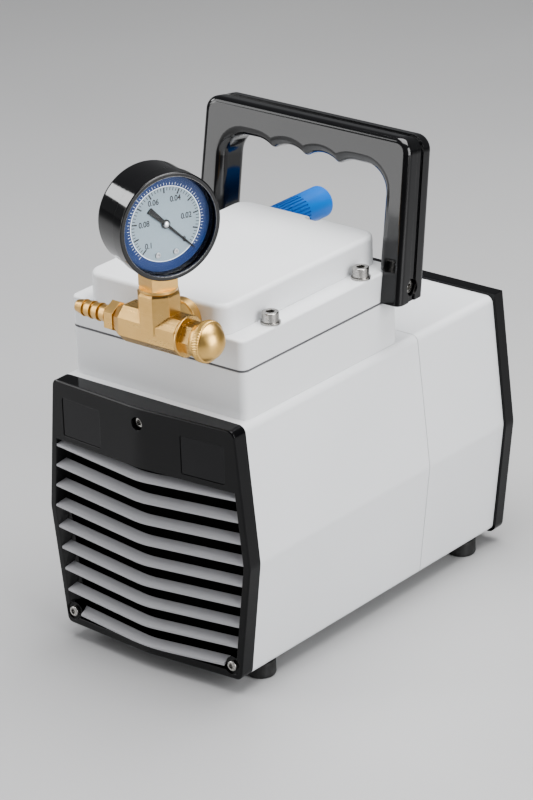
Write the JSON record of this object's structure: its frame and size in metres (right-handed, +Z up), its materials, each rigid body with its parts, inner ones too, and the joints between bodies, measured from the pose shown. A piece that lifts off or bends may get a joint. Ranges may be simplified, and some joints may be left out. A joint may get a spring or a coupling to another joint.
{
  "type": "portable vacuum pump",
  "caption": "Portable oil-free vacuum pump: louvred housing, bolted head, brass inlet cross with hose barb, bleed knob and dial gauge, exhaust muffler and carrying handle.",
  "frame": {"origin": "on the bench under the middle of the overall box", "axes": "+X to the right of a person facing the louvred front, +Y from the front to the rear panel, +Z up"},
  "size_m": [0.134, 0.2595, 0.2729],
  "materials": {
    "cover_white": "semi-matt light grey-white enamel",
    "head_white": "semi-matt enamel on cast aluminium",
    "panel_black": "gloss black moulding",
    "blade_grey": "satin light grey paint",
    "label_black": "plain gloss label plate, no lettering",
    "handle_black": "polished black moulding",
    "rubber": "black rubber",
    "filter_foam": "open-cell dust filter",
    "screw_steel": "bright stainless",
    "plain_steel": "machined steel",
    "laminations": "stacked electrical steel",
    "cast_aluminium": "as-cast aluminium",
    "copper_winding": "enamelled copper wire",
    "fan_plastic": "moulded fan",
    "brass": "machined brass, lightly dulled",
    "muffler_blue": "light blue moulding",
    "gauge_black": "gloss black stove enamel",
    "gauge_glass": "clear lens",
    "dial_face": "printed dial with numbers and ticks",
    "pointer_black": "matt black",
    "rocker_red": "red rocker",
    "capacitor_can": "drawn can"
  },
  "bodies": {
    "pump": {"front_cover": "cover_white", "rear_cover": "cover_white", "base_plate": "plain_steel", "front_panel": "panel_black", "label_plates": "label_black", "louvre_blades": "blade_grey", "air_filter": "filter_foam", "panel_screws": "screw_steel", "rear_panel": "panel_black", "rear_panel_screws": "screw_steel", "power_inlet": "panel_black", "switch_bezel": "panel_black", "rubber_feet": "rubber", "foot_screws": "screw_steel", "head_block": "head_white", "diaphragm": "rubber", "head_plate": "head_white", "head_cover": "head_white", "head_washers": "screw_steel", "head_bolts": "screw_steel", "head_nuts": "plain_steel", "valve_plate": "plain_steel", "valve_flaps": "rubber", "diaphragm_clamp": "plain_steel", "stator_core": "laminations", "stator_windings": "copper_winding", "crank_bracket": "cast_aluminium", "front_motor_shield": "cast_aluminium", "rear_motor_shield": "cast_aluminium", "shaft_bearings": "plain_steel", "motor_studs": "plain_steel", "run_capacitor": "capacitor_can", "cross_fitting": "brass", "port_nipple": "brass", "hose_barb": "brass", "regulator_body": "brass", "exhaust_muffler": "muffler_blue", "muffler_nipple": "brass", "gauge_case": "gauge_black", "gauge_socket": "brass", "gauge_bezel": "gauge_black", "gauge_lens": "gauge_glass", "gauge_dial": "dial_face", "dial_screws": "plain_steel", "gauge_movement": "brass", "bourdon_tube": "copper_winding", "handle": "handle_black", "handle_screws": "screw_steel"},
    "drive_shaft": {"motor_shaft": "plain_steel", "rotor_core": "laminations", "cooling_fan": "fan_plastic", "eccentric": "plain_steel", "counterweight": "plain_steel"},
    "rod": {"connecting_rod": "cast_aluminium", "crank_bearing": "plain_steel"},
    "pointer": {"gauge_pointer": "pointer_black"},
    "knob": {"regulator_knob": "brass", "regulator_needle": "plain_steel"},
    "rocker": {"switch_rocker": "rocker_red"}
  },
  "joints": [
    {"name": "shaft_spin", "type": "hinge", "parent": "pump", "child": "drive_shaft", "pos_m": [0, -0.019, 0.066], "axis": [0, 1, 0], "continuous": true},
    {"name": "rod_pivot", "type": "hinge", "parent": "drive_shaft", "child": "rod", "pos_m": [0, -0.019, 0.0625], "axis": [0, 1, 0], "continuous": true},
    {"name": "pointer_turn", "type": "hinge", "parent": "pump", "child": "pointer", "pos_m": [0.03012, -0.10319, 0.2462], "axis": [0.9336, -0.3584, 0], "range_deg": [0, 270], "stiffness_Nm_per_rad": 0.0001, "springref_deg": -28.65},
    {"name": "knob_turn", "type": "hinge", "parent": "pump", "child": "knob", "pos_m": [0.05, -0.0995, 0.1898], "axis": [1, 0, 0], "range_deg": [0, 1080]},
    {"name": "rocker_tilt", "type": "hinge", "parent": "pump", "child": "rocker", "pos_m": [0.028, 0.1255, 0.048], "axis": [0, 0, 1], "range_deg": [-16, 0]}
  ],
  "couplings": [
    {"joint": "rod_pivot", "follows": "shaft_spin", "ratio": -1}
  ]
}
